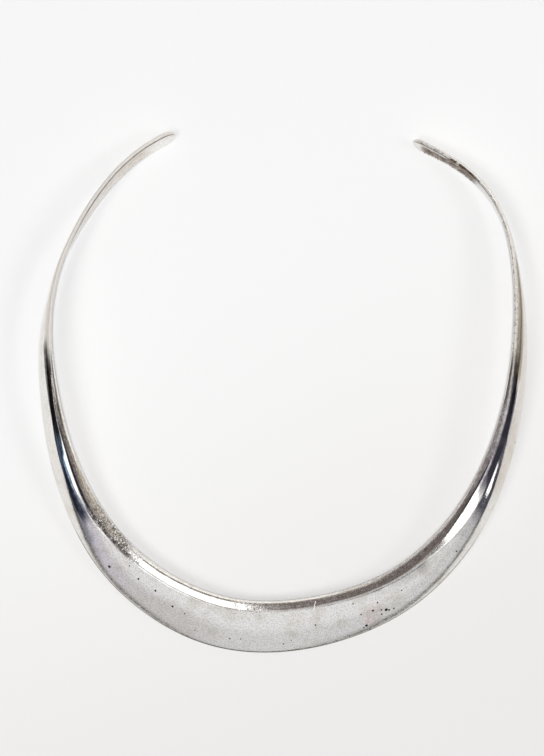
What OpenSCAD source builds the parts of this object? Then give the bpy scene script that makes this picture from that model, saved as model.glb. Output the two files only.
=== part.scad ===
// Open collar necklace: one forged silver band, broad at the throat, slim and upright in the arms.
// Millimetres. The front lies towards -Y, the opening towards +Y, and +Z is up from the table.
// The band is a strip that is bent across its breadth and swept round the neck.

/* [Ring] */
// Widest inside measure of the neck opening, side to side
neck_w = 118.5; // [110:0.5:130]
// How far round the left tip reaches from the middle of the front, in degrees
left_reach = 156.6; // [148:0.2:160]
// How far round the right tip reaches from the middle of the front, in degrees
right_reach = 152.1; // [146:0.2:160]
// Height by which the sides arch clear of the table while the front and tips rest on it
arch = 7.9; // [0:0.1:12]

/* [Band] */
// Breadth of the strip at the front, measured over its curve
front_breadth = 15.4; // [12:0.2:18]
// Breadth of the strip where the arms stand upright
arm_breadth = 6.2; // [5:0.2:8]
// Thickness of the strip at the front
front_t = 1.5; // [1.2:0.1:2]
// Thickness of the strip at the tips
tip_t = 1.05; // [0.9:0.05:1.2]
// Thickness left at the lower edge, as a share of the strip's thickness
edge_share = 0.65; // [0.5:0.05:1]

/* [Finish] */
// Length over which the crease between face and shoulder is rounded
crease_w = 0.6; // [0.5:0.1:1.2]
// Length over which each tip rounds off
tip_round = 3.2; // [2:0.2:4]

/* [Worn out of true] */
// Degrees by which the front's broadest place sits left of the middle
front_turn = 8; // [0:1:12]
// Degrees by which the right arm turns upright later than the left
right_lag = 6; // [0:1:10]

/* [Hidden] */

// Each arm's form table has a row every 15 degrees, from the middle of the front to just past the
// tip. Slopes are in degrees: 0 is level, 90 is upright and facing out, more than 90 leans outward
// at the top, and less than 0 turns down towards the neck. Crest is the width of the flat that
// softens the ridge between face and shoulder where an arm begins. Breadth and thickness are
// shares, from 0 in the arm to 1 at the front. Lift is a share of arch, and the last row's brings
// the rounded tip down to the table.
row_step = 15;
// Columns of the form tables
RADIUS = 0;
BREADTH = 1;
SHOULDER = 2;
CREST = 3;
THICKNESS = 4;
LOW_SLOPE = 5;
FACE_SLOPE = 6;
BEVEL_SLOPE = 7;
TOP_SLOPE = 8;
LIFT = 9;
left_form = [
    // radius, breadth, shoulder, crest, thickness, slopes low, face, bevel, top, lift
    [60.5, 1.00, 2.9, 0.0, 1.0, 36, 21, -24, -60, 0.00],
    [61.9, 0.99, 2.9, 0.0, 1.0, 40, 21, -24, -66, 0.04],
    [61.4, 0.84, 3.0, 0.0, 1.0, 45, 20, -25, -74, 0.15],
    [61.0, 0.65, 3.3, 0.0, 1.0, 45, 17, -26, -80, 0.33],
    [59.6, 0.46, 4.5, 1.2, 0.8, 59, 31, -22, -84, 0.72],
    [59.1, 0.30, 2.8, 1.8, 0.8, 74, 44, -5, -80, 0.93],
    [59.9, 0.17, 1.7, 0.0, 0.7, 77, 49, 15, -60, 1.00],
    [63.4, 0.10, 1.4, 0.0, 0.6, 81, 62, 48, -10, 0.96],
    [66.5, 0.00, 1.3, 0.0, 0.4, 90, 88, 84, 70, 0.81],
    [69.4, 0.00, 1.3, 0.0, 0.3, 101, 101, 101, 100, 0.53],
    [73.2, 0.01, 1.3, 0.0, 0.1, 109, 109, 109, 109, 0.17],
    [72.9, 0.02, 1.3, 0.0, 0.0, 114, 114, 114, 114, -0.50],
];
right_form = [
    // radius, breadth, shoulder, crest, thickness, slopes low, face, bevel, top, lift
    [60.5, 1.00, 2.9, 0.0, 1.0, 36, 21, -24, -60, 0.00],
    [59.5, 0.99, 2.9, 0.0, 1.0, 40, 21, -24, -66, 0.04],
    [59.5, 0.84, 3.0, 0.0, 1.0, 44, 20, -25, -74, 0.15],
    [58.5, 0.65, 3.5, 0.0, 1.0, 49, 17, -26, -80, 0.33],
    [57.8, 0.46, 3.5, 3.4, 0.8, 60, 23, -22, -84, 0.72],
    [57.7, 0.30, 2.7, 0.6, 0.8, 76, 38, -5, -80, 0.93],
    [59.3, 0.17, 1.8, 0.0, 0.7, 80, 53, 15, -60, 1.00],
    [62.8, 0.10, 1.6, 0.0, 0.6, 83, 64, 48, -10, 0.96],
    [68.6, 0.00, 1.3, 0.0, 0.4, 90, 88, 84, 70, 0.81],
    [76.0, 0.00, 1.3, 0.0, 0.3, 101, 101, 101, 100, 0.53],
    [73.2, 0.01, 1.3, 0.0, 0.1, 109, 109, 109, 109, 0.17],
    [74.2, 0.02, 1.3, 0.0, 0.0, 114, 114, 114, 114, -0.50],
];
// Angle in the tables at which a tip rests on the table top, whatever its own reach
table_reach = 155;
// Inside width of the ring that the radius columns give
table_neck_w = 118.5;
ring_k = neck_w / table_neck_w;
// How sharply the slope of the face steepens towards its lower edge
face_power = 1.6;
// How sharply the shoulder turns down towards the neck
shoulder_power = 2;
// How far the crest's flat has turned from the face's slope to the shoulder's
crest_lean = 0.6;
// Angle from which the right arm falls behind the left, and the span over which it does so
lag_start = 60;
lag_span = 60;
// Share of the breadth over which the strip gains its full thickness from the lower edge
edge_reach = 0.6;
// Facets of the sweep: sections along each arm, and steps over each stretch of a section
sweep_steps = 100;
tip_steps = 6;
edge_steps = 3;
face_steps = 6;
crease_steps = 9;
shoulder_steps = 3;
// Smallest angle of the tips' rounding, which leaves a small flat end facet
tip_start = 10;
// Half step in degrees that the path's direction is measured over
path_probe = 0.05;

function clamp01(x) = max(0, min(1, x));
function smooth(x) = let (c = clamp01(x)) c * c * (3 - 2 * c);

// Uniform cubic B-spline of a row of numbers at place x, counted in steps
function b_spline(v, x) =
    let (i = max(0, min(len(v) - 4, floor(x))), t = x - i)
    (pow(1 - t, 3) * v[i]
     + (3 * pow(t, 3) - 6 * t * t + 4) * v[i + 1]
     + (-3 * pow(t, 3) + 3 * t * t + 3 * t + 1) * v[i + 2]
     + pow(t, 3) * v[i + 3]) / 6;

// A column laid out from the left tip round the front to the right tip
function laid_out(column) =
    let (both = concat([for (i = [len(left_form) - 1:-1:1]) left_form[i][column]],
                       [for (row = right_form) row[column]]),
         n = len(both))
    concat([2 * both[0] - both[1]], both, [2 * both[n - 1] - both[n - 2]]);

tracks = [for (c = [RADIUS:LIFT]) laid_out(c)];
middle_step = len(left_form) - 1;

// Angles run from minus left_reach over 0 at the front to right_reach
function worn_angle(a) =
    let (turn = front_turn * pow(cos(max(-90, min(90, a))), 2),
         lag = right_lag * smooth((a - lag_start) / lag_span))
    a + turn - lag;
function value(c, a) = b_spline(tracks[c], worn_angle(a) / row_step + middle_step);

// The lowest line of the band, seen in plan along its middle
function path(a) =
    let (r = ring_k * b_spline(tracks[RADIUS], a / row_step + middle_step),
         reach = a < 0 ? left_reach : right_reach,
         lift = b_spline(tracks[LIFT], a * table_reach / reach / row_step + middle_step))
    [r * sin(a), -r * cos(a), arch * lift];
function path_direction(a) =
    let (d = path(a + path_probe) - path(a - path_probe)) d / norm(d);
function outward(t) = [t[1], -t[0], 0] / norm([t[0], t[1]]);

// Slope of the strip at distance x from its lower edge
function slope(x, breadth, s) =
    let (ridge = breadth - s[SHOULDER],
         face = s[FACE_SLOPE] + (s[LOW_SLOPE] - s[FACE_SLOPE]) * pow(clamp01(1 - x / ridge), face_power),
         shoulder = s[BEVEL_SLOPE]
             + (s[TOP_SLOPE] - s[BEVEL_SLOPE]) * pow(clamp01((x - ridge) / s[SHOULDER]), shoulder_power),
         onto_crest = smooth((x - ridge + s[CREST] / 2) / crease_w + 0.5),
         off_crest = smooth((x - ridge - s[CREST] / 2) / crease_w + 0.5),
         blend = crest_lean * onto_crest + (1 - crest_lean) * off_crest)
    face * (1 - blend) + shoulder * blend;

// Distances from the lower edge at which a section has points, with the share of thickness there
function stops(breadth, shoulder, crest, low_r, top_r) =
    let (crease_start = breadth - shoulder - (crest + crease_w) / 2,
         crease_end = crease_start + crest + crease_w)
    concat(
        [for (i = [0:edge_steps]) let (e = 90 * i / edge_steps) [low_r * (1 - cos(e)), sin(e)]],
        [for (i = [1:face_steps]) [low_r + (crease_start - low_r) * i / face_steps, 1]],
        [for (i = [1:crease_steps]) [crease_start + (crest + crease_w) * i / crease_steps, 1]],
        [for (i = [1:shoulder_steps]) [crease_end + (breadth - top_r - crease_end) * i / shoulder_steps, 1]],
        [for (i = [edge_steps - 1:-1:0])
            let (e = 90 * i / edge_steps) [breadth - top_r * (1 - cos(e)), sin(e)]]);

// Closed outline of the section at angle a, as [outward, up] from the path; g shrinks it at a tip
function section(a, g) =
    let (s = [for (c = [RADIUS:LIFT]) value(c, a)],
         breadth = arm_breadth + (front_breadth - arm_breadth) * s[BREADTH],
         t = (tip_t + (front_t - tip_t) * s[THICKNESS]) * sqrt(g),
         x = stops(breadth, s[SHOULDER], s[CREST], t * edge_share / 2, t / 2),
         n = len(x) - 1,
         turn = [for (p = x) slope(p[0], breadth, s)],
         line = [for (i = 0, c = [0, 0];
                      i <= n;
                      d = i < n ? (x[i + 1][0] - x[i][0]) * g : 0,
                      m = i < n ? slope((x[i + 1][0] + x[i][0]) / 2, breadth, s) : 0,
                      c = c + d * [-cos(m), sin(m)],
                      i = i + 1) c],
         half = [for (p = x)
             t / 2 * p[1] * (edge_share + (1 - edge_share) * smooth(p[0] / breadth / edge_reach))],
         top = [for (i = [0:n]) line[i] + half[i] * [sin(turn[i]), cos(turn[i])]],
         under = [for (i = [n - 1:-1:1]) line[i] - half[i] * [sin(turn[i]), cos(turn[i])]])
    concat(top, under);

// The full section decides where the strip sits; a tip's shrunken one is centred on it
function seated(a, g) =
    let (whole = section(a, 1),
         small = g < 1 ? section(a, g) : whole,
         out = [for (p = whole) p[0]],
         up = [for (p = whole) p[1]],
         centre = [(max(out) + min(out)) / 2, (max(up) + min(up)) / 2],
         small_out = [for (p = small) p[0]],
         small_up = [for (p = small) p[1]],
         small_centre = [(max(small_out) + min(small_out)) / 2, (max(small_up) + min(small_up)) / 2])
    [for (p = small) p - small_centre + [0, centre[1] - min(up)]];

function ring_points(a, g) =
    let (p = path(a), t = path_direction(a), o = outward(t), u = cross(o, t))
    [for (q = seated(a, g)) p + q[0] * o + q[1] * u];

// Stations: [angle, share of the section left by the rounding of the tip]
function tip_angle(a) = tip_round / norm([path(a)[0], path(a)[1]]) * 180 / PI;
left_tip = tip_angle(-left_reach);
right_tip = tip_angle(right_reach);
body_start = left_tip - left_reach;
body_end = right_reach - right_tip;
tip_turns = [for (i = [0:tip_steps - 1]) tip_start + (90 - tip_start) * i / tip_steps];
stations = concat(
    [for (e = tip_turns) [left_tip * (1 - cos(e)) - left_reach, sin(e)]],
    [for (i = [0:sweep_steps]) [body_start + (body_end - body_start) * i / sweep_steps, 1]],
    [for (i = [tip_steps - 1:-1:0]) [right_reach - right_tip * (1 - cos(tip_turns[i])), sin(tip_turns[i])]]);

rings = [for (s = stations) ring_points(s[0], s[1])];
ring_n = len(rings[0]);
all_points = [for (r = rings) for (p = r) p];
lows = [for (k = [0:2]) min([for (p = all_points) p[k]])];
highs = [for (k = [0:2]) max([for (p = all_points) p[k]])];
// The origin is under the middle of the ring, on the table
rest = [(lows[0] + highs[0]) / 2, (lows[1] + highs[1]) / 2, lows[2]];

side_faces = [
    for (i = [0:len(rings) - 2])
        for (j = [0:ring_n - 1])
            let (k = (j + 1) % ring_n,
                 p = i * ring_n + j,
                 q = i * ring_n + k,
                 r = (i + 1) * ring_n + k,
                 s = (i + 1) * ring_n + j)
            each [[p, q, r], [p, r, s]]];
// An end facet is a ladder of quads across the strip, closed by a triangle at each edge
half_ring = ring_n / 2;
function end_faces(first, flip) = [
    for (f = concat(
            [[0, 1, ring_n - 1], [half_ring - 1, half_ring, half_ring + 1]],
            [for (i = [1:half_ring - 2])
                each [[i, i + 1, ring_n - i - 1], [i, ring_n - i - 1, ring_n - i]]]))
        [for (k = flip ? [2, 1, 0] : [0, 1, 2]) first + f[k]]];
last_ring = (len(rings) - 1) * ring_n;

module collar() {
    color("silver")
        translate(-rest)
            polyhedron(points = all_points,
                       faces = concat(side_faces, end_faces(0, true), end_faces(last_ring, false)),
                       convexity = 10);
}

collar();
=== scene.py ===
import math

import bpy
import numpy as np
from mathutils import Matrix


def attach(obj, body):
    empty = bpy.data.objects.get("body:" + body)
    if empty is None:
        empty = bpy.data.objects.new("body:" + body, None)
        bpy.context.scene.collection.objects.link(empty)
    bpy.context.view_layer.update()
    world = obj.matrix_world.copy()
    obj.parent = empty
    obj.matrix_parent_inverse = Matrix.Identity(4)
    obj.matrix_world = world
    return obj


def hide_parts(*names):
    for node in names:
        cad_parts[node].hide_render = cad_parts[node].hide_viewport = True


# Open collar necklace of polished silver, lying on a pale table and seen from straight above.
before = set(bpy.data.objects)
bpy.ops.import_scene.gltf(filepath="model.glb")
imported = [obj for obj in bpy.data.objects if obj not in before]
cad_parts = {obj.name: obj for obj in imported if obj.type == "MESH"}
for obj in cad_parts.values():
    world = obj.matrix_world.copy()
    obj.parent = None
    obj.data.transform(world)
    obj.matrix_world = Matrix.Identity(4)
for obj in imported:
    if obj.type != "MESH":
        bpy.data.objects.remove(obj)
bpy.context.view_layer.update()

MM = 0.001

# ---- The ring's form, in millimetres: the same driving values as the solid's source ----
NECK_K = 1.0
LEFT_REACH, RIGHT_REACH = 156.6, 152.1
ARCH = 7.9
FRONT_BREADTH, ARM_BREADTH = 15.4, 6.2
FRONT_T, TIP_T = 1.5, 1.05
EDGE_SHARE, EDGE_REACH = 0.65, 0.6
CREASE_W = 0.6
TIP_ROUND, TIP_START = 3.2, 10.0
FRONT_TURN = 8.0
RIGHT_LAG, LAG_START, LAG_SPAN = 6.0, 60.0, 60.0
FACE_POWER, SHOULDER_POWER = 1.6, 2.0
CREST_LEAN = 0.6
ROW_STEP, TABLE_REACH = 15.0, 155.0
PATH_PROBE = 0.05

# A row every 15 degrees from the middle of the front to just past the tips. Slopes are in degrees.
COLUMNS = ("radius", "breadth", "shoulder", "crest", "thickness", "low", "face", "bevel", "top", "lift")
PATH_COLUMNS = ("radius", "lift")
LEFT_FORM = (
    (60.5, 1.00, 2.9, 0.0, 1.0, 36, 21, -24, -60, 0.00),
    (61.9, 0.99, 2.9, 0.0, 1.0, 40, 21, -24, -66, 0.04),
    (61.4, 0.84, 3.0, 0.0, 1.0, 45, 20, -25, -74, 0.15),
    (61.0, 0.65, 3.3, 0.0, 1.0, 45, 17, -26, -80, 0.33),
    (59.6, 0.46, 4.5, 1.2, 0.8, 59, 31, -22, -84, 0.72),
    (59.1, 0.30, 2.8, 1.8, 0.8, 74, 44, -5, -80, 0.93),
    (59.9, 0.17, 1.7, 0.0, 0.7, 77, 49, 15, -60, 1.00),
    (63.4, 0.10, 1.4, 0.0, 0.6, 81, 62, 48, -10, 0.96),
    (66.5, 0.00, 1.3, 0.0, 0.4, 90, 88, 84, 70, 0.81),
    (69.4, 0.00, 1.3, 0.0, 0.3, 101, 101, 101, 100, 0.53),
    (73.2, 0.01, 1.3, 0.0, 0.1, 109, 109, 109, 109, 0.17),
    (72.9, 0.02, 1.3, 0.0, 0.0, 114, 114, 114, 114, -0.50),
)
RIGHT_FORM = (
    (60.5, 1.00, 2.9, 0.0, 1.0, 36, 21, -24, -60, 0.00),
    (59.5, 0.99, 2.9, 0.0, 1.0, 40, 21, -24, -66, 0.04),
    (59.5, 0.84, 3.0, 0.0, 1.0, 44, 20, -25, -74, 0.15),
    (58.5, 0.65, 3.5, 0.0, 1.0, 49, 17, -26, -80, 0.33),
    (57.8, 0.46, 3.5, 3.4, 0.8, 60, 23, -22, -84, 0.72),
    (57.7, 0.30, 2.7, 0.6, 0.8, 76, 38, -5, -80, 0.93),
    (59.3, 0.17, 1.8, 0.0, 0.7, 80, 53, 15, -60, 1.00),
    (62.8, 0.10, 1.6, 0.0, 0.6, 83, 64, 48, -10, 0.96),
    (68.6, 0.00, 1.3, 0.0, 0.4, 90, 88, 84, 70, 0.81),
    (76.0, 0.00, 1.3, 0.0, 0.3, 101, 101, 101, 100, 0.53),
    (73.2, 0.01, 1.3, 0.0, 0.1, 109, 109, 109, 109, 0.17),
    (74.2, 0.02, 1.3, 0.0, 0.0, 114, 114, 114, 114, -0.50),
)

# Slight unevenness of hammered metal: height and the lengths of one wave along and across, in mm,
# and where in its turn the wave starts
WAVES = (
    (0.010, 13.0, 31.0, 0.4),
    (0.005, 7.3, -17.0, 2.1),
    (0.002, 4.4, 12.0, 4.0),
    (0.001, 2.9, -9.0, 1.2),
)

# Sections along the ring, and points over each stretch of a section
SWEEP_STEPS, TIP_STEPS = 620, 10
EDGE_STEPS, FACE_STEPS, CREASE_STEPS, SHOULDER_STEPS = 6, 26, 14, 12


def smooth(x):
    c = np.clip(x, 0, 1)
    return c * c * (3 - 2 * c)


def b_spline(v, x):
    """Uniform cubic B-spline of the numbers v at places x, counted in steps."""
    i = np.clip(np.floor(x).astype(int), 0, len(v) - 4)
    t = x - i
    return ((1 - t) ** 3 * v[i] + (3 * t ** 3 - 6 * t ** 2 + 4) * v[i + 1]
            + (-3 * t ** 3 + 3 * t ** 2 + 3 * t + 1) * v[i + 2] + t ** 3 * v[i + 3]) / 6


def laid_out(name):
    """A column from the left end of its table round the front to the right end."""
    c = COLUMNS.index(name)
    both = np.array([row[c] for row in LEFT_FORM[:0:-1]] + [row[c] for row in RIGHT_FORM])
    return np.concatenate([[2 * both[0] - both[1]], both, [2 * both[-1] - both[-2]]])


MIDDLE = len(LEFT_FORM) - 1


def value(name, a):
    """A column's value at angles a, with the front's turn and the right arm's lag."""
    turn = FRONT_TURN * np.cos(np.radians(np.clip(a, -90, 90))) ** 2
    lag = RIGHT_LAG * smooth((a - LAG_START) / LAG_SPAN)
    return b_spline(laid_out(name), (a + turn - lag) / ROW_STEP + MIDDLE)


def path(a):
    """The band's lowest line: plan from the radius columns, height from the lift columns."""
    r = NECK_K * b_spline(laid_out("radius"), a / ROW_STEP + MIDDLE)
    reach = np.where(a < 0, LEFT_REACH, RIGHT_REACH)
    lift = b_spline(laid_out("lift"), a * TABLE_REACH / reach / ROW_STEP + MIDDLE)
    return np.stack([r * np.sin(np.radians(a)), -r * np.cos(np.radians(a)), ARCH * lift], -1)


def slope(x, breadth, s):
    """How steeply the strip rises inwards at places x across it, in radians."""
    ridge = breadth - s["shoulder"]
    face = s["face"] + (s["low"] - s["face"]) * np.clip(1 - x / ridge, 0, 1) ** FACE_POWER
    along_shoulder = np.clip((x - ridge) / s["shoulder"], 0, 1)
    shoulder = s["bevel"] + (s["top"] - s["bevel"]) * along_shoulder ** SHOULDER_POWER
    onto_crest = smooth((x - ridge + s["crest"] / 2) / CREASE_W + 0.5)
    off_crest = smooth((x - ridge - s["crest"] / 2) / CREASE_W + 0.5)
    blend = CREST_LEAN * onto_crest + (1 - CREST_LEAN) * off_crest
    return np.radians(face * (1 - blend) + shoulder * blend)


def unevenness(along, across):
    """Height of the hammered waves, in mm."""
    return sum(height * np.sin(2 * np.pi * (along / length + across / width) + start)
               for height, length, width, start in WAVES)


def section(a, g, along):
    """Outward and up places of the section's outline at angles a, and where its points lie."""
    s = {k: value(k, a)[:, None] for k in COLUMNS if k not in PATH_COLUMNS}
    g = g[:, None]
    breadth = ARM_BREADTH + (FRONT_BREADTH - ARM_BREADTH) * s["breadth"]
    t = (TIP_T + (FRONT_T - TIP_T) * s["thickness"]) * np.sqrt(g)
    low_r, top_r = t * EDGE_SHARE / 2, t / 2
    crease = s["crest"] + CREASE_W
    crease_start = breadth - s["shoulder"] - crease / 2
    crease_end = crease_start + crease
    e = np.radians(90 * np.arange(EDGE_STEPS + 1) / EDGE_STEPS)[None, :]
    part = lambda n: np.arange(1, n + 1)[None, :] / n
    x = np.concatenate([
        low_r * (1 - np.cos(e)),
        low_r + (crease_start - low_r) * part(FACE_STEPS),
        crease_start + crease * part(CREASE_STEPS),
        crease_end + (breadth - top_r - crease_end) * part(SHOULDER_STEPS),
        breadth - top_r * (1 - np.cos(e[:, -2::-1]))], 1)
    full = np.ones((1, FACE_STEPS + CREASE_STEPS + SHOULDER_STEPS))
    thickness_share = np.concatenate([np.sin(e), full, np.sin(e[:, -2::-1])], 1)
    turn = slope(x, breadth, s)
    mid = slope((x[:, 1:] + x[:, :-1]) / 2, breadth, s)
    d = np.diff(x, axis=1) * g
    zero = np.zeros((len(a), 1))
    wave = unevenness(along[:, None], x)
    out = np.concatenate([zero, np.cumsum(-np.cos(mid) * d, 1)], 1) + wave * np.sin(turn)
    up = np.concatenate([zero, np.cumsum(np.sin(mid) * d, 1)], 1) + wave * np.cos(turn)
    gain = EDGE_SHARE + (1 - EDGE_SHARE) * smooth(x / breadth / EDGE_REACH)
    half = t / 2 * thickness_share * gain
    half_out, half_up = half * np.sin(turn), half * np.cos(turn)
    past_crest = x - (breadth - s["shoulder"] + s["crest"] / 2)
    to_edge = breadth - x
    back = np.s_[:, -2:0:-1]
    return (np.concatenate([out + half_out, (out - half_out)[back]], 1),
            np.concatenate([up + half_up, (up - half_up)[back]], 1),
            np.concatenate([x, x[back]], 1),
            np.concatenate([past_crest, past_crest[back]], 1),
            np.concatenate([to_edge, to_edge[back]], 1))


def stations():
    """Angles along the ring, and the share of the section that a tip's rounding leaves."""
    tip = lambda a: np.degrees(TIP_ROUND / np.hypot(*path(np.array([a]))[0, :2]))
    left_tip, right_tip = tip(-LEFT_REACH), tip(RIGHT_REACH)
    e = np.radians(TIP_START + (90 - TIP_START) * np.arange(TIP_STEPS) / TIP_STEPS)
    start, end = left_tip - LEFT_REACH, RIGHT_REACH - right_tip
    a = np.concatenate([left_tip * (1 - np.cos(e)) - LEFT_REACH,
                        start + (end - start) * np.arange(SWEEP_STEPS + 1) / SWEEP_STEPS,
                        RIGHT_REACH - right_tip * (1 - np.cos(e[::-1]))])
    g = np.concatenate([np.sin(e), np.ones(SWEEP_STEPS + 1), np.sin(e[::-1])])
    return a, g


def ring_grid():
    """Points (stations, outline points, 3) in mm about the origin, and where each lies on the strip."""
    a, g = stations()
    p = path(a)
    t = path(a + PATH_PROBE) - path(a - PATH_PROBE)
    t /= np.linalg.norm(t, axis=1, keepdims=True)
    o = np.stack([t[:, 1], -t[:, 0], 0 * t[:, 0]], 1)
    o /= np.linalg.norm(o, axis=1, keepdims=True)
    u = np.cross(o, t)
    along = np.concatenate([[0], np.cumsum(np.linalg.norm(np.diff(p, axis=0), axis=1))])
    along -= np.interp(0, a, along)
    whole_up = section(a, np.ones_like(g), along)[1]
    out, up, across, past_crest, to_edge = section(a, g, along)
    middle = lambda v: ((v.max(1) + v.min(1)) / 2)[:, None]
    out = out - middle(out)
    up = up - middle(up) + middle(whole_up) - whole_up.min(1)[:, None]
    points = p[:, None] + out[..., None] * o[:, None] + up[..., None] * u[:, None]
    low, high = points.reshape(-1, 3).min(0), points.reshape(-1, 3).max(0)
    rest = np.array([(low[0] + high[0]) / 2, (low[1] + high[1]) / 2, low[2]])
    place = np.arange(across.shape[1])
    over = np.where(place <= len(place) // 2, 1.0, 0.0)
    spread = lambda v: np.broadcast_to(v, across.shape)
    layers = {"along": spread(along[:, None]), "across": across, "past_crest": past_crest,
              "to_edge": to_edge, "angle": spread(a[:, None]), "over": spread(over)}
    return points - rest, layers


def ring_mesh():
    points, layers = ring_grid()
    rows, n = points.shape[:2]
    i, j = np.meshgrid(np.arange(rows - 1), np.arange(n), indexing="ij")
    k = (j + 1) % n
    quads = np.stack([i * n + j, (i + 1) * n + j, (i + 1) * n + k, i * n + k], -1).reshape(-1, 4)
    half = n // 2
    faces = [tuple(q) for q in quads.tolist()]
    # An end is a ladder of quads across the strip, closed by a triangle at each edge
    ladder = [(0, 1, n - 1), (half - 1, half, half + 1)]
    ladder += [(m, m + 1, n - m - 1, n - m) for m in range(1, half - 1)]
    last = (rows - 1) * n
    faces += [tuple(f) for f in ladder]
    faces += [tuple(last + v for v in reversed(f)) for f in ladder]
    mesh = bpy.data.meshes.new("collar_ring")
    mesh.from_pydata((points.reshape(-1, 3) * MM).tolist(), [], faces)
    for name, grid in layers.items():
        layer = mesh.attributes.new(name, "FLOAT", "POINT")
        layer.data.foreach_set("value", grid.astype(np.float32).ravel())
    mesh.polygons.foreach_set("use_smooth", [True] * len(faces))
    mesh.validate()
    mesh.update()
    return mesh


# ---- Nodes ----
# The factor, A and B of a mix node's colours, and their result, among its sockets for other types
MIX_SOCKETS, MIX_RESULT = (0, 6, 7), 2


class Graph:
    """Short calls that add nodes to one tree and link them."""

    def __init__(self, tree):
        self.tree = tree
        tree.nodes.clear()

    def node(self, kind, inputs=(), **settings):
        made = self.tree.nodes.new(kind)
        for key, setting in settings.items():
            setattr(made, key, setting)
        for key, source in dict(inputs).items():
            self.feed(made.inputs[key], source)
        return made

    def feed(self, socket, source):
        if isinstance(source, bpy.types.NodeSocket):
            self.tree.links.new(source, socket)
        else:
            socket.default_value = source

    def math(self, operation, a, b=0.0):
        return self.node("ShaderNodeMath", {0: a, 1: b}, operation=operation).outputs[0]

    def plus(self, a, b):
        return self.math("ADD", a, b)

    def minus(self, a, b):
        return self.math("SUBTRACT", a, b)

    def most(self, a, b):
        return self.math("MAXIMUM", a, b)

    def times(self, product, *factors):
        for factor in factors:
            product = self.math("MULTIPLY", product, factor)
        return product

    def rest(self, share):
        """What a share leaves of 1."""
        return self.minus(1.0, share)

    def fade(self, v, low, high, to_low=0.0, to_high=1.0):
        """v from low to high becomes to_low to to_high, eased at both ends."""
        inputs = {"Value": v, "From Min": low, "From Max": high, "To Min": to_low, "To Max": to_high}
        return self.node("ShaderNodeMapRange", inputs, interpolation_type="SMOOTHSTEP").outputs[0]

    def past(self, v, place, soft):
        """1 where v is past a place, blurred by soft to either side of it."""
        return self.fade(v, place - soft, place + soft)

    def before(self, v, place, soft, share=1.0):
        """The share where v is before a place, blurred by soft to either side of it."""
        return self.fade(v, place - soft, place + soft, share, 0.0)

    def stretch(self, v, start, end, rise, fall, share=1.0):
        """The share from start to end, eased in over rise and out over fall, both between them."""
        return self.times(self.fade(v, start, start + rise), self.fade(v, end - fall, end, share, 0.0))

    def mix(self, factor, a, b, blend="MIX"):
        made = self.node("ShaderNodeMix", data_type="RGBA", blend_type=blend)
        for index, source in zip(MIX_SOCKETS, (factor, a, b)):
            self.feed(made.inputs[index], source)
        return made.outputs[MIX_RESULT]

    def noise(self, vector, scale, detail, roughness):
        inputs = {"Vector": vector, "Scale": scale, "Detail": detail, "Roughness": roughness}
        return self.node("ShaderNodeTexNoise", inputs).outputs["Fac"]

    def distance(self, a, b):
        return self.node("ShaderNodeVectorMath", {0: a, 1: b}, operation="DISTANCE").outputs["Value"]

    def attribute(self, name):
        return self.node("ShaderNodeAttribute", attribute_name=name).outputs["Fac"]

    def vector(self, x, y, z=0.0):
        return self.node("ShaderNodeCombineXYZ", {0: x, 1: y, 2: z}).outputs[0]


# ---- Silver ----
# Places on the strip: angles are degrees round the ring from the middle of the front, positive on
# the right arm. All else is in mm: along the strip, across it from the outer edge, or past the
# crest's inner side.
SILVER = (0.94, 0.92, 0.895, 1)
TARNISH = (0.62, 0.57, 0.48, 1)
# Painted dark lines: contact shade and dark reflection on the front's outer rim, and a dark reflection
# inside the upper arms' top edges
PAINTED_DARK_LINE = (0.13, 0.105, 0.08, 1)
PATCH_TARNISH = (0.19, 0.14, 0.105, 1)
PIT = (0.02, 0.018, 0.018, 1)
STREAK = (0.34, 0.29, 0.27, 1)
STAIN = (0.78, 0.60, 0.58, 1)
NICK_SHADE = (0.12, 0.10, 0.095, 1)
# Pale top edges: satin wear with a painted sheen
WEAR_AND_SHEEN = (0.80, 0.765, 0.71, 1)

# Noises with the same turns every way: turns a metre, detail and roughness
GRAIN_NOISE = (2600.0, 1.0, 0.5)
CLOUD_NOISE = (190.0, 4.0, 0.6)
MOTTLE_NOISE = (900.0, 3.0, 0.65)
NICK_NOISE = (2000.0, 2.0, 0.6)
GLINT_NOISE = (1900.0, 1.0, 0.5)
# Noises drawn out along the strip or across it: turns a millimetre along and across, detail and
# roughness
STREAK_NOISE = (0.5, 2.4, 3.0, 0.5)
FINE_NOISE = (0.7, 5.0, 3.0, 0.65)
BRISTLE_NOISE = (3.2, 0.7, 3.0, 0.65)
FLECK_NOISE = (1.1, 4.5, 2.0, 0.6)

# How the noises vary the marks: from and to in the noise, and the mark's share below and above
TARNISH_BY_CLOUD = (0.43, 0.72, 0.0, 0.45)
SHADE_BY_GRAIN = (0.30, 0.62, 0.78, 1.0)
STREAK_BY_FINE = (0.38, 0.60, 0.6, 0.0)
STAIN_BY_MOTTLE = (0.48, 0.62, 0.0, 0.8)
PATCH_BY_MOTTLE = (0.42, 0.62, 1.0, 0.72)
TOP_LINE_BY_MOTTLE = (0.3, 0.6, 0.95, 0.7)
CREST_BY_MOTTLE = (0.2, 0.6, 0.75, 1.0)
SHOULDER_BY_FINE = (0.36, 0.62, 1.6, 0.3)
NICKED_BY_CLOUD = (0.40, 0.56, 0.25, 1.0)
FLECK_RANGE = (0.54, 0.66, 0.0, 0.5)
NICK_RANGE = (0.44, 0.56)
GLINT_RANGE = (0.56, 0.61)
# The same, for marks whose share above or below is given with the mark
WEAR_AND_SHEEN_RANGE = (0.36, 0.60)
FILM_AND_REFLECTION_RANGE = (0.36, 0.60)
BLOTCH_RANGE, BLOTCH_LEAST = (0.38, 0.60), 0.25
# How far bristles move a border across the strip: from and to in the noise, and the least and most
RAGGED_NEAR = (0.3, 0.7, -0.9, 1.3)
RAGGED_FAR = (0.3, 0.7, 0.3, -0.3)

# How far the borders of marks past the crest are blurred, at their start and where they stop
SOFT, FAR_SOFT = 0.15, 0.2
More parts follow.
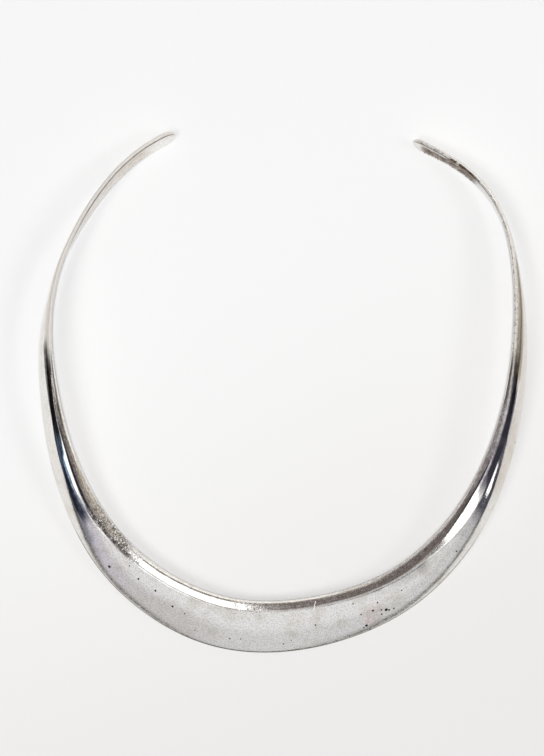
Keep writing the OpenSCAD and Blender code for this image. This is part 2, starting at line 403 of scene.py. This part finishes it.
# Where the slim arms set in on either side, and where their upper parts do
ARMS = (50, 64)
UPPER_ARMS = (94, 104)
# The shoulder is less polished, but for a stretch at the left: where it starts past the crest, and
# the angles at which the polish sets in and ends
SHOULDER_START = (0.0, 0.6)
POLISH_START, POLISH_END = (-52, -44), (-10, 0)
# The bare inner edge of the left arm and the front: from and to, the ease at either end, the share,
# its breadth on the arm and at the front, the angles between which it widens, and its border
INNER_EDGE, INNER_EDGE_EASE, INNER_EDGE_SHARE = (-102, 26), (8, 16), 0.95
INNER_EDGE_BREADTH, INNER_EDGE_WIDENS = (0.95, 1.05), (-62, -40)
INNER_EDGE_BORDER = (-0.15, 0.1)

# Casting pits on the upper side: place along and across the strip, and radius
PITS = (
    (-48.7, 3.65, 0.22), (-45.5, 8.25, 0.11), (-41.3, 7.53, 0.16), (-35.8, 8.06, 0.17),
    (-29.8, 7.10, 0.18), (-26.1, 6.92, 0.12), (-22.1, 3.49, 0.10), (-13.4, 3.93, 0.12),
    (-10.8, 4.31, 0.10), (-0.3, 2.96, 0.12), (1.7, 3.91, 0.10), (8.4, 7.36, 0.14),
    (19.6, 10.10, 0.10), (20.5, 6.27, 0.13), (19.9, 2.03, 0.13), (20.7, 2.36, 0.22),
    (21.1, 0.60, 0.14), (23.7, 5.93, 0.18), (25.3, 3.73, 0.14), (25.7, 7.42, 0.13),
    (25.7, 5.00, 0.14), (26.8, 4.30, 0.26), (27.4, 3.81, 0.16), (28.6, 3.45, 0.13),
    (32.8, 6.82, 0.11), (50.1, 3.79, 0.13), (81.0, 1.19, 0.14),
)
# A scratch over the ridge: both ends along and across, its half width and the ease at its ends
SCRATCH = ((8.7, 11.5), (9.9, 13.3), 0.07, 0.2)
# How much wider than its radius a pit's blurred border starts and ends
PIT_BORDER = (1.2, 2.0)
# A reddish stain round the cluster of pits: middle along and across, reach, and the share of that
# in which it is whole
STAIN_PLACE, STAIN_WHOLE = (22.9, 4.5, 5.0), 0.3
# Nicked stretches of the shoulder: from and to, and strength. Then the ease at either end, and
# where they start past the crest.
NICKS = ((-63, -40, 1.0), (-15, -3, 0.4))
NICK_EASE, NICK_START = (8, 6), (-0.4, 0.3)
# The painted dark line on the outer rim of the front, contact shade and dark reflection: how far across
# it reaches, from and to, the ease at both ends, and its share
RIM_LINE, RIM_REACH, RIM_EASE, RIM_SHARE = 0.65, (-62, 58), 8, 0.85
RIM_BORDER = (0.6, 1.2)  # of that reach across
# Colours along the crest, mostly painted dark reflections that trim its highlights and partly tarnish:
# from and to, where they start past the crest at either end, where they stop, and their colour. Then the
# ease at their ends, and their share.
CREST_REFLECTIONS_AND_TARNISH = (
    (-104, -77, -0.6, -0.9, 0.5, (0.045, 0.04, 0.04, 1)),
    (-81, -56, -0.8, -3.1, -0.75, (0.03, 0.05, 0.09, 1)),
    (-84, -54, 0.0, 0.0, 0.25, (0.10, 0.09, 0.075, 1)),
    (-62, -42, -0.3, -0.3, 0.3, (0.22, 0.185, 0.18, 1)),
    (63, 80, -1.9, -1.0, 0.5, (0.15, 0.13, 0.15, 1)),
    (76, 94, -1.2, -0.7, 0.4, (0.10, 0.09, 0.11, 1)),
    (91, 122, -1.2, -0.8, 0.8, (0.34, 0.29, 0.21, 1)),
    (94, 126, -0.25, -0.15, 0.2, (0.12, 0.10, 0.09, 1)),
)
CREST_EASE, CREST_SHARE = 4, 0.9
# Darkening of the shoulder, partly tarnish and partly painted dark reflection: from and to, where it
# starts past the crest, where it stops at its first and at its last angle, colour and share. Then the
# ease at its ends.
SHOULDER_TARNISH_AND_REFLECTION = (
    (-100, -44, 0.3, 0.5, 3.2, (0.36, 0.31, 0.245, 1), 0.9),
    (-3, 78, 0.0, 6.0, 6.0, (0.40, 0.34, 0.32, 1), 0.28),
    (-3, 78, 1.3, 6.0, 6.0, (0.26, 0.22, 0.20, 1), 0.15),
)
SHOULDER_EASE = 6
# Greyish and bluish colours on the shoulder and crest, painted reflections and partly tarnish films: from
# and to, where they start and stop past the crest, colour and least share. Then the ease at their ends,
# and how many times that share at most.
FILMS_AND_REFLECTIONS = (
    (58, 92, 0.25, 6.0, (0.34, 0.29, 0.31, 1), 0.38),
    (60, 90, -2.0, 0.25, (0.15, 0.15, 0.23, 1), 0.14),
    (-92, -52, 0.3, 1.4, (0.28, 0.245, 0.235, 1), 0.32),
)
FILM_AND_REFLECTION_EASE, FILM_AND_REFLECTION_GAIN = 8, 1.5
# Mottled tarnish on the arms: from and to, whether on the upper side, from and to across, colour
# and share. Then the ease at its ends and the blur of its borders.
MOTTLES = (
    (112, 142, False, 0.0, 5.7, (0.42, 0.40, 0.37, 1), 0.85),
    (-153, -118, False, 0.4, 5.3, (0.46, 0.39, 0.31, 1), 0.75),
    (62, 124, True, 0.5, 4.6, (0.62, 0.55, 0.48, 1), 0.55),
    (-110, -56, True, 0.3, 4.6, (0.80, 0.76, 0.70, 1), 0.4),
)
MOTTLE_EASE, MOTTLE_SOFT = 5, 0.3
# Pale top edges of the upper arms, satin wear with a painted sheen: from this far across on, and the blur
# of its border.
# Then its least share and its whole share on the left and the right arm, and where the right
# arm's set in.
TOP_EDGE, TOP_EDGE_SOFT = 5.35, 0.2
WEAR_AND_SHEEN_LEAST, WEAR_AND_SHEEN_SHARE, RIGHT_WEAR_AND_SHEEN = (0.85, 0.55), (1.0, 0.8), (92, 108)
# The painted dark reflection inside that edge: where it sets in and where it ends across the strip
TOP_LINE_START, TOP_LINE_END = (5.46, 5.64), (5.94, 6.08)
# The dark patch inside the right tip: where it sets in and ends along the strip, where it starts
# across, where it stops across, which is first past the strip's edge and then short of it, between
# which places along that changes, and the blur of both borders
PATCH_START, PATCH_END = (148.7, 152.2), (166.1, 168.6)
PATCH_NEAR, PATCH_FAR, PATCH_NARROWS = 1.0, (7.0, 5.0), (157.5, 160.5)
PATCH_NEAR_SOFT, PATCH_FAR_SOFT = 0.3, 0.2
# A bright ring in that patch: place along and across, inner and outer radius, blur of either
RING_MARK = (156.8, 5.7, 0.16, 0.55, 0.06, 0.08)

# Roughness: of the metal along its streaks, what its grain adds, the share that the slim arms are
# free of, what the dull shoulder adds, and the least of pits and the patch, and of wear and painted light
ROUGH_BY_STREAK = (0.3, 0.7, 0.10, 0.17)
ROUGH_BY_GRAIN = (0.3, 0.7, 0.0, 0.05)
ARM_POLISH, DULL_ROUGH, DARK_ROUGH, WEAR_AND_PAINT_ROUGH = 0.65, 0.10, 0.6, 0.5
# How far worn places and painted glints, sheen and reflections show as metal
WEAR_AND_PAINT_METALLIC = 0.4
# Relief: the depth of pits and the height of the scratch against that of the grain and streaks,
# and the strength and height in m of these and of the nicks
PIT_DEPTH, SCRATCH_HEIGHT = 2.0, 3.0
FINE_RELIEF, NICK_RELIEF = (0.12, 0.0001), (1.0, 0.00025)
# How strongly nicks, the painted glints of flecks and the scratch mark the metal
NICK_SHARE, FLECK_GLINT_SHARE, SCRATCH_WEAR = 0.6, 0.6, 0.9


class Strip(Graph):
    """A graph with the places on the bent strip and the noises and masks that its marks share."""

    def __init__(self, tree):
        super().__init__(tree)
        self.place = self.node("ShaderNodeTexCoord").outputs["Object"]
        self.along, self.across, self.past_crest, self.to_edge, self.angle, self.over = (
            self.attribute(k) for k in ("along", "across", "past_crest", "to_edge", "angle", "over"))
        self.spot = self.vector(self.along, self.across)
        self.inside = self.rest(self.over)
        self.upper = self.fade(self.math("ABSOLUTE", self.angle), *UPPER_ARMS)
        self.grain = self.noise(self.place, *GRAIN_NOISE)
        self.cloud = self.noise(self.place, *CLOUD_NOISE)
        self.mottle = self.noise(self.place, *MOTTLE_NOISE)
        self.streaks = self.drawn_noise(*STREAK_NOISE)
        self.fine = self.drawn_noise(*FINE_NOISE)

        breadth = self.fade(self.angle, *INNER_EDGE_WIDENS, *INNER_EDGE_BREADTH)
        inner_edge = self.fade(self.minus(self.to_edge, breadth), *INNER_EDGE_BORDER, 1.0, 0.0)
        reach = self.stretch(self.angle, *INNER_EDGE, *INNER_EDGE_EASE, INNER_EDGE_SHARE)
        # Where tarnish and painted reflections may lie: the upper side, off the bare inner edge
        beside_edge = self.rest(self.times(inner_edge, reach))
        self.off_bare_edge = self.times(self.over, beside_edge)
        shoulder = self.fade(self.past_crest, *SHOULDER_START)
        unpolished = self.most(self.fade(self.angle, *POLISH_START, 1.0, 0.0),
                               self.fade(self.angle, *POLISH_END))
        self.dull = self.times(shoulder, unpolished, beside_edge)

    def drawn_noise(self, turns_along, turns_across, detail, roughness):
        drawn = self.vector(self.times(self.along, turns_along), self.times(self.across, turns_across))
        return self.noise(drawn, 1.0, detail, roughness)

    def relief(self, strength, distance, height, normal=None):
        made = self.node("ShaderNodeBump", {"Strength": strength, "Distance": distance, "Height": height})
        if normal is not None:
            self.feed(made.inputs["Normal"], normal)
        return made.outputs[0]

    def off(self, along, across):
        """Distance over the strip from a place on it."""
        return self.distance(self.spot, (along, across, 0))


def stain(s, colour):
    along, across, reach = STAIN_PLACE
    mask = s.fade(s.off(along, across), reach * STAIN_WHOLE, reach, 1.0, 0.0)
    return s.mix(s.times(mask, s.over, s.fade(s.mottle, *STAIN_BY_MOTTLE)), colour, STAIN)


def mottles(s, colour):
    blotches = s.plus(s.times(s.mottle, 0.5), s.times(s.fine, 0.5))
    for start, end, on_top, near, far, tint, share in MOTTLES:
        mask = s.times(s.stretch(s.angle, start, end, MOTTLE_EASE, MOTTLE_EASE),
                       s.past(s.across, near, MOTTLE_SOFT), s.before(s.across, far, MOTTLE_SOFT),
                       s.over if on_top else s.inside,
                       s.fade(blotches, *BLOTCH_RANGE, BLOTCH_LEAST, share))
        colour = s.mix(mask, colour, tint)
    return colour


def dark_patch(s):
    """The mask of the ragged dark patch inside the right tip, but for the bright ring in it."""
    bristle = s.drawn_noise(*BRISTLE_NOISE)
    near = s.plus(s.across, s.fade(bristle, *RAGGED_NEAR))
    far = s.plus(s.across, s.fade(bristle, *RAGGED_FAR))
    past_far = s.minus(far, s.fade(s.along, *PATCH_NARROWS, *PATCH_FAR))
    lasting = s.times(s.fade(s.along, *PATCH_START), s.fade(s.along, *PATCH_END, 1.0, 0.0))
    along, across, inner, outer, inner_blur, outer_blur = RING_MARK
    off_ring = s.most(s.fade(s.off(along, across), outer, outer + outer_blur),
                      s.fade(s.off(along, across), inner, inner + inner_blur, 1.0, 0.0))
    return s.times(s.past(near, PATCH_NEAR, PATCH_NEAR_SOFT), s.inside,
                   s.before(past_far, 0, PATCH_FAR_SOFT), lasting, off_ring,
                   s.fade(s.mottle, *PATCH_BY_MOTTLE))


def top_edges(s, colour, patch):
    """The upper arms' pale top edges, wear with a painted sheen, and the painted dark reflection inside
    them.
    """
    line = s.times(s.fade(s.across, *TOP_LINE_START), s.fade(s.across, *TOP_LINE_END, 1.0, 0.0),
                   s.upper, s.inside)
    least = s.fade(s.angle, *RIGHT_WEAR_AND_SHEEN, *WEAR_AND_SHEEN_LEAST)
    wear_and_painted_light = s.times(s.upper, s.past(s.across, TOP_EDGE, TOP_EDGE_SOFT),
                   s.fade(s.mottle, *WEAR_AND_SHEEN_RANGE, least, 1.0),
                   s.fade(s.angle, *RIGHT_WEAR_AND_SHEEN, *WEAR_AND_SHEEN_SHARE), s.rest(s.most(patch, line)))
    colour = s.mix(wear_and_painted_light, colour, WEAR_AND_SHEEN)
    line = s.times(line, s.fade(s.mottle, *TOP_LINE_BY_MOTTLE))
    return s.mix(line, colour, PAINTED_DARK_LINE), wear_and_painted_light


# Painted contact shade and dark reflection along the front's outer rim
def rim_line(s, colour):
    start, end = (RIM_LINE * share for share in RIM_BORDER)
    mask = s.times(s.fade(s.across, start, end, 1.0, 0.0), s.over,
                   s.stretch(s.angle, *RIM_REACH, RIM_EASE, RIM_EASE, RIM_SHARE))
    return s.mix(mask, colour, PAINTED_DARK_LINE)


# Painted dark reflections along the crest, partly tarnish
def crest_reflections_and_tarnish(s, colour):
    for start, end, near_start, near_end, far, tint in CREST_REFLECTIONS_AND_TARNISH:
        past_near = s.minus(s.past_crest, s.fade(s.angle, start, end, near_start, near_end))
        mask = s.times(s.past(past_near, 0, SOFT), s.before(s.past_crest, far, SOFT, CREST_SHARE),
                       s.over, s.stretch(s.angle, start, end, CREST_EASE, CREST_EASE),
                       s.fade(s.mottle, *CREST_BY_MOTTLE))
        colour = s.mix(mask, colour, tint)
    return colour


# Shoulder darkening, partly tarnish and partly painted dark reflection
def shoulder_tarnish_and_reflection(s, colour):
    for start, end, near, far_start, far_end, tint, share in SHOULDER_TARNISH_AND_REFLECTION:
        past_far = s.minus(s.past_crest, s.fade(s.angle, start, end, far_start, far_end))
        mask = s.times(s.past(s.past_crest, near, SOFT), s.before(past_far, 0, FAR_SOFT, share),
                       s.stretch(s.angle, start, end, SHOULDER_EASE, SHOULDER_EASE),
                       s.fade(s.fine, *SHOULDER_BY_FINE), s.off_bare_edge)
        colour = s.mix(mask, colour, tint)
    return colour


# Painted reflections on the shoulder and crest, partly tarnish films, shown as matte colour
def films_and_reflections(s, colour, wear_and_painted_light):
    for start, end, near, far, tint, share in FILMS_AND_REFLECTIONS:
        mask = s.times(s.past(s.past_crest, near, SOFT), s.before(s.past_crest, far, FAR_SOFT),
                       s.stretch(s.angle, start, end, FILM_AND_REFLECTION_EASE, FILM_AND_REFLECTION_EASE), s.off_bare_edge,
                       s.fade(s.mottle, *FILM_AND_REFLECTION_RANGE, share, share * FILM_AND_REFLECTION_GAIN))
        colour = s.mix(mask, colour, tint)
        wear_and_painted_light = s.most(wear_and_painted_light, mask)
    return colour, wear_and_painted_light


def flecks(s, colour, wear_and_painted_light):
    """Painted glints: bright flecks in the dull shoulder, but for the upper arms."""
    mask = s.times(s.dull, s.rest(s.upper), s.fade(s.drawn_noise(*FLECK_NOISE), *FLECK_RANGE))
    return s.mix(mask, colour, SILVER), s.most(wear_and_painted_light, s.times(mask, FLECK_GLINT_SHARE))


def nicks(s, colour, wear_and_painted_light):
    """Fine nicks with painted glints between them, and the nicks' mask."""
    nicked = 0.0
    for start, end, strength in NICKS:
        nicked = s.most(nicked, s.stretch(s.angle, start, end, *NICK_EASE, strength))
    nicked = s.times(nicked, s.fade(s.past_crest, *NICK_START), s.fade(s.cloud, *NICKED_BY_CLOUD))
    mask = s.times(nicked, s.fade(s.noise(s.place, *NICK_NOISE), *NICK_RANGE))
    colour = s.mix(s.times(mask, NICK_SHARE), colour, NICK_SHADE)
    glint = s.times(nicked, s.fade(s.noise(s.place, *GLINT_NOISE), *GLINT_RANGE))
    return s.mix(glint, colour, SILVER), s.most(wear_and_painted_light, glint), mask


def pits(s):
    mask = 0.0
    for along, across, radius in PITS:
        start, end = (radius * share for share in PIT_BORDER)
        mask = s.most(mask, s.fade(s.off(along, across), start, end, 1.0, 0.0))
    return s.times(mask, s.over)


def scratch(s):
    (a0, x0), (a1, x1), half_width, ease = SCRATCH
    length = math.hypot(a1 - a0, x1 - x0)
    ua, ux = (a1 - a0) / length, (x1 - x0) / length
    da, dx = s.minus(s.along, (a0 + a1) / 2), s.minus(s.across, (x0 + x1) / 2)
    lengthwise = s.math("ABSOLUTE", s.plus(s.times(da, ua), s.times(dx, ux)))
    sideways = s.math("ABSOLUTE", s.plus(s.times(da, -ux), s.times(dx, ua)))
    return s.times(s.fade(lengthwise, length / 2 - ease, length / 2, 1.0, 0.0),
                   s.fade(sideways, half_width, half_width * 2, 1.0, 0.0), s.over)


def silver():
    material = bpy.data.materials.new("polished_silver")
    material.use_nodes = True
    s = Strip(material.node_tree)
    colour = s.mix(s.fade(s.cloud, *TARNISH_BY_CLOUD), SILVER, TARNISH)
    shade = s.fade(s.grain, *SHADE_BY_GRAIN)
    colour = s.mix(1.0, colour, s.vector(shade, shade, shade), "MULTIPLY")
    colour = s.mix(s.times(s.dull, s.fade(s.fine, *STREAK_BY_FINE)), colour, STREAK)
    colour = mottles(s, stain(s, colour))
    patch = dark_patch(s)
    # Where wear and painted glints, sheen and reflections show as matte colour
    colour, wear_and_painted_light = top_edges(s, colour, patch)
    colour = s.mix(patch, colour, PATCH_TARNISH)
    colour = shoulder_tarnish_and_reflection(s, crest_reflections_and_tarnish(s, rim_line(s, colour)))
    colour, wear_and_painted_light = films_and_reflections(s, colour, wear_and_painted_light)
    colour, wear_and_painted_light = flecks(s, colour, wear_and_painted_light)
    colour, wear_and_painted_light, nicked = nicks(s, colour, wear_and_painted_light)
    pitted = pits(s)
    colour = s.mix(pitted, colour, PIT)
    scratched = scratch(s)
    colour = s.mix(scratched, colour, SILVER)
    wear_and_painted_light = s.most(wear_and_painted_light, s.times(scratched, SCRATCH_WEAR))

    # The slim arms are better polished, and dark places, worn places and painted glints, sheen and
    # reflections blur what they reflect
    arms = s.fade(s.math("ABSOLUTE", s.angle), *ARMS)
    roughness = s.times(s.fade(s.streaks, *ROUGH_BY_STREAK), s.rest(s.times(arms, ARM_POLISH)))
    roughness = s.plus(roughness, s.fade(s.grain, *ROUGH_BY_GRAIN))
    roughness = s.plus(roughness, s.times(s.dull, DULL_ROUGH))
    roughness = s.most(roughness, s.times(s.most(patch, pitted), DARK_ROUGH))
    roughness = s.most(roughness, s.times(wear_and_painted_light, WEAR_AND_PAINT_ROUGH))
    height = s.plus(s.times(s.grain, 0.5), s.times(s.streaks, 0.5))
    height = s.minus(height, s.times(pitted, PIT_DEPTH))
    height = s.plus(height, s.times(scratched, SCRATCH_HEIGHT))
    shader = s.node("ShaderNodeBsdfPrincipled",
                    {"Base Color": colour, "Metallic": s.fade(wear_and_painted_light, 0.0, 1.0, 1.0, WEAR_AND_PAINT_METALLIC),
                     "Roughness": roughness,
                     "Normal": s.relief(*NICK_RELIEF, nicked, s.relief(*FINE_RELIEF, height))})
    s.node("ShaderNodeOutputMaterial", {"Surface": shader.outputs[0]})
    return material


# ---- Camera: straight above, 0.8 m up ----
CAMERA_X, CAMERA_Y, CAMERA_HEIGHT = -0.00279, 0.00385, 0.8
SENSOR = 36.0
VIEW_HEIGHT = 0.1974  # of the table, from the picture's top to its bottom


def camera():
    data = bpy.data.cameras.new("camera")
    data.sensor_width = SENSOR
    data.lens = SENSOR * CAMERA_HEIGHT / VIEW_HEIGHT
    made = bpy.data.objects.new("camera", data)
    made.location = (CAMERA_X, CAMERA_Y, CAMERA_HEIGHT)
    bpy.context.scene.collection.objects.link(made)
    bpy.context.scene.camera = made


# ---- Table ----
TABLE_HALF = 6.0
# The table darkens towards the bottom right: painted shade of the light falling off across it
TABLE_TOP_COLOUR = (0.811, 0.809, 0.810, 1)
TABLE_BOTTOM_COLOUR = (0.733, 0.724, 0.711, 1)
# Where one colour fades into the other at the middle, and how far that moves up for a metre right
TABLE_FADE_Y = (-0.11, 0.05)
TABLE_FADE_SLANT = 0.5


def table_surface():
    material = bpy.data.materials.new("pale_table")
    material.use_nodes = True
    g = Graph(material.node_tree)
    x, y, _ = g.node("ShaderNodeSeparateXYZ", {0: g.node("ShaderNodeTexCoord").outputs["Object"]}).outputs
    rise = g.fade(g.plus(y, g.times(x, -TABLE_FADE_SLANT)), *TABLE_FADE_Y)
    colour = g.mix(rise, TABLE_BOTTOM_COLOUR, TABLE_TOP_COLOUR)
    shader = g.node("ShaderNodeBsdfDiffuse", {"Color": colour})
    g.node("ShaderNodeOutputMaterial", {"Surface": shader.outputs[0]})
    mesh = bpy.data.meshes.new("table")
    h = TABLE_HALF
    mesh.from_pydata([(-h, -h, 0), (h, -h, 0), (h, h, 0), (-h, h, 0)], [], [(0, 1, 2, 3)])
    mesh.materials.append(material)
    table = bpy.data.objects.new("table", mesh)
    bpy.context.scene.collection.objects.link(table)
    return table


# ---- Surroundings: what the metal reflects ----
# Azimuths run counter-clockwise from +X and zenith angles down from straight up, in degrees.
# Later rows lie over earlier ones.
SKY_BASE = (0.19, 0.165, 0.16)
# The ceiling, under all rows: azimuth, zenith, radius, blur and colour
SKY_CEILING = (0, 0, 26, 10, (0.50, 0.48, 0.455))
SKY = (
    # azimuth, half width, blur, zenith from, to, blur, colour
    (292, 46, 6, 12, 30, 6, (0.76, 0.76, 0.76)),
    (6, 30, 6, 12, 40, 10, (0.20, 0.19, 0.17)),
    (8, 26, 6, 48, 96, 14, (0.74, 0.71, 0.66)),
    (59.5, 22.5, 2.5, 8, 62, 4, (2.0, 2.0, 2.0)),
    (53, 64, 4, 76, 91, 3, (1.3, 1.27, 1.2)),
    (178, 7, 4, 14, 92, 4, (0.12, 0.11, 0.10)),
    (196, 14, 4, 14, 92, 4, (0.045, 0.04, 0.045)),
    (211, 9, 3, 28, 92, 4, (0.07, 0.10, 0.15)),
    (230, 8, 4, 22, 50, 3, (0.09, 0.11, 0.16)),
    (282, 56, 3, 26, 64, 4, (0.84, 0.84, 0.85)),
    (281, 59, 4, 60, 86, 6, (0.69, 0.69, 0.70)),
    (240, 14, 8, 56, 86, 8, (0.60, 0.59, 0.595)),
    (222, 3, 2, 50, 92, 4, (0.26, 0.26, 0.31)),
    (229, 2.5, 2, 52, 80, 4, (0.66, 0.63, 0.72)),
    (270, 60, 4, 84, 92, 2, (0.13, 0.125, 0.12)),
    (347, 9, 4, 24, 96, 4, (0.02, 0.018, 0.022)),
)
# Half of the sky, up to a slanting great circle: azimuth and zenith of its middle, radius, blur,
# colour, and the azimuth, half width and blur that it is kept within
SKY_SLANT = (48, 72, 88.5, 5, (0.075, 0.075, 0.10), 318, 32, 3)
# Round lamps over all of these: azimuth, zenith, radius, blur, colour
SKY_ROUNDS = (
    (60, 0, 9, 4, (0.66, 0.66, 0.67)),
    (229, 20, 5, 1.2, (2.0, 2.0, 2.0)),
    (209, 22.3, 5, 1.2, (2.0, 2.0, 2.0)),
    (249, 20.7, 5, 1.2, (2.0, 2.0, 2.0)),
    (226, 32, 3.2, 1.2, (1.2, 1.5, 1.8)),
    (236, 28, 3.2, 1.2, (1.4, 1.7, 2.0)),
    (322, 55, 4, 1, (2.0, 2.0, 2.0)),
    (324, 61, 4, 1, (2.0, 2.0, 2.0)),
    (325.5, 68, 4, 1, (2.0, 2.0, 2.0)),
    (327, 75, 4, 1, (2.0, 2.0, 2.0)),
)
# What the surroundings give to the table, and what is seen of them past its edge
SKY_ON_TABLE = (0.16, 0.16, 0.16)
SKY_TO_CAMERA = (0.93, 0.93, 0.93)
# These keep a divisor off zero and the ends of a fade apart, straight up
LEAST_LEVEL, LEAST_FADE = 1e-6, 1e-5


def cosine(degrees):
    return math.cos(math.radians(max(0.0, min(180.0, degrees))))


def surroundings():
    world = bpy.data.worlds.new("studio")
    bpy.context.scene.world = world
    world.use_nodes = True
    g = Graph(world.node_tree)
    direction = g.node("ShaderNodeTexCoord").outputs["Generated"]
    x, y, z = g.node("ShaderNodeSeparateXYZ", {0: direction}).outputs
    level = g.math("SQRT", g.most(g.rest(g.times(z, z)), LEAST_LEVEL))

    def within(azimuth, half, blur):
        a = math.radians(azimuth)
        facing = g.plus(g.times(x, math.cos(a)), g.times(y, math.sin(a)))
        return g.fade(g.math("DIVIDE", facing, level), cosine(half + blur), cosine(half - blur))

    def round_patch(azimuth, zenith, radius, blur):
        a, b = math.radians(azimuth), math.radians(zenith)
        middle = (math.sin(b) * math.cos(a), math.sin(b) * math.sin(a), math.cos(b))
        near = g.node("ShaderNodeVectorMath", {0: direction, 1: middle}, operation="DOT_PRODUCT")
        return g.fade(near.outputs["Value"], cosine(radius + blur), cosine(radius - blur))

    colour = g.mix(round_patch(*SKY_CEILING[:4]), (*SKY_BASE, 1), (*SKY_CEILING[4], 1))
    for azimuth, half, blur, z_from, z_to, z_blur, light in SKY:
        below = g.fade(z, cosine(z_from + z_blur), cosine(z_from - z_blur) + LEAST_FADE, 1.0, 0.0)
        above = g.fade(z, cosine(z_to + z_blur), cosine(z_to - z_blur))
        colour = g.mix(g.times(within(azimuth, half, blur), below, above), colour, (*light, 1))
    slant = g.times(round_patch(*SKY_SLANT[:4]), within(*SKY_SLANT[5:]))
    colour = g.mix(slant, colour, (*SKY_SLANT[4], 1))
    for *patch, light in SKY_ROUNDS:
        colour = g.mix(round_patch(*patch), colour, (*light, 1))
    rays = g.node("ShaderNodeLightPath").outputs
    colour = g.mix(rays["Is Diffuse Ray"], colour, (*SKY_ON_TABLE, 1))
    colour = g.mix(rays["Is Camera Ray"], colour, (*SKY_TO_CAMERA, 1))
    shader = g.node("ShaderNodeBackground", {"Color": colour, "Strength": 1.0})
    g.node("ShaderNodeOutputWorld", {"Surface": shader.outputs[0]})


# ---- Lamps ----
# Suns: name, azimuth, elevation, angular size, strength. They light the table and shade it, while
# the metal's highlights come from the bright patches of the surroundings.
SUNS = (
    ("key_lamp", 214, 67, 24, 0.66),
    ("side_lamp", -10, 45, 16, 0.30),
)
# A lamp beside the camera, whose shadows hide behind the ring: height and radius in m, power in W
FILL_HEIGHT, FILL_RADIUS, FILL_POWER = 1.0, 0.03, 28.9


def add_lamp(light):
    lamp = bpy.data.objects.new(light.name, light)
    lamp.visible_glossy = False
    bpy.context.scene.collection.objects.link(lamp)
    return lamp


def lamps():
    for name, azimuth, elevation, size, strength in SUNS:
        light = bpy.data.lights.new(name, "SUN")
        light.angle = math.radians(size)
        light.energy = strength
        add_lamp(light).rotation_euler = (0, math.radians(90 - elevation), math.radians(azimuth))
    light = bpy.data.lights.new("fill_lamp", "POINT")
    light.energy = FILL_POWER
    light.shadow_soft_size = FILL_RADIUS
    add_lamp(light).location = (CAMERA_X, CAMERA_Y, FILL_HEIGHT)


ring = bpy.data.objects.new("collar_ring", ring_mesh())
bpy.context.scene.collection.objects.link(ring)
ring.data.materials.append(silver())
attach(ring, "root")
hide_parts("collar")

table_surface()
surroundings()
lamps()
camera()
bpy.context.scene.view_settings.view_transform = "Standard"
